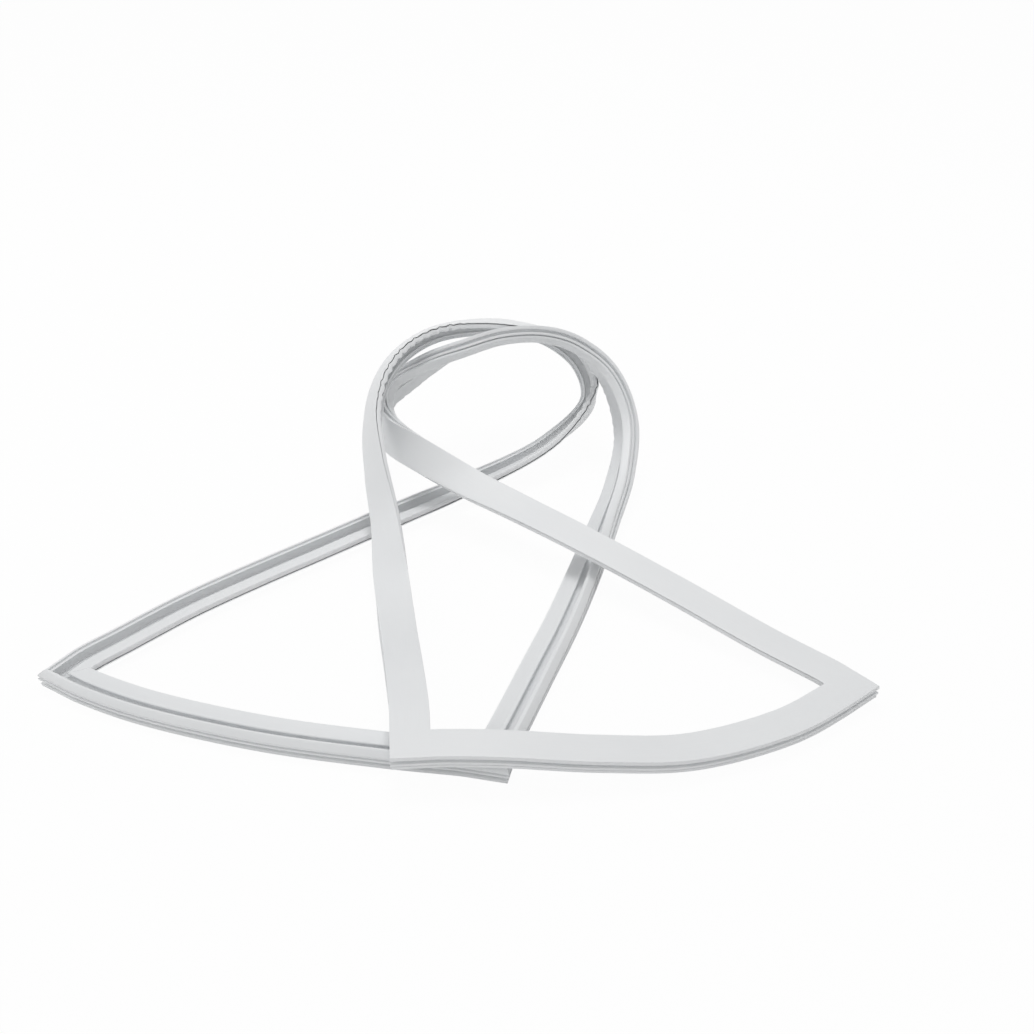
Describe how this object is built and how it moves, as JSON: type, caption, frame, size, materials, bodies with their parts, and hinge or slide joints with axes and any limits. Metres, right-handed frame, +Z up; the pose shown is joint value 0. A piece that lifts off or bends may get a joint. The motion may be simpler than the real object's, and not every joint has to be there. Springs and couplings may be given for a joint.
{
  "type": "refrigerator door gasket",
  "caption": "White soft PVC magnetic door gasket for a tall refrigerator: a rectangular frame of multi-lip extrusion with mitre-welded corners, folded in half as shipped with a twisted loop.",
  "frame": {"origin": "middle of the bounding box, on the table that the gasket lies on", "axes": "+Z up from the table; the two short ends of the folded frame lie along the front, on the -Y side, and the loop where it is folded stands at the back, on the +Y side"},
  "size_m": [0.875, 0.7226, 0.1763],
  "materials": {
    "white_pvc": "satin",
    "magnet": "matte"
  },
  "bodies": {
    "root": {"gasket_frame": "white_pvc", "magnet_strip_lower_short": "magnet", "magnet_strip_front_long": "magnet", "magnet_strip_upper_short": "magnet", "magnet_strip_back_long": "magnet"}
  },
  "joints": []
}
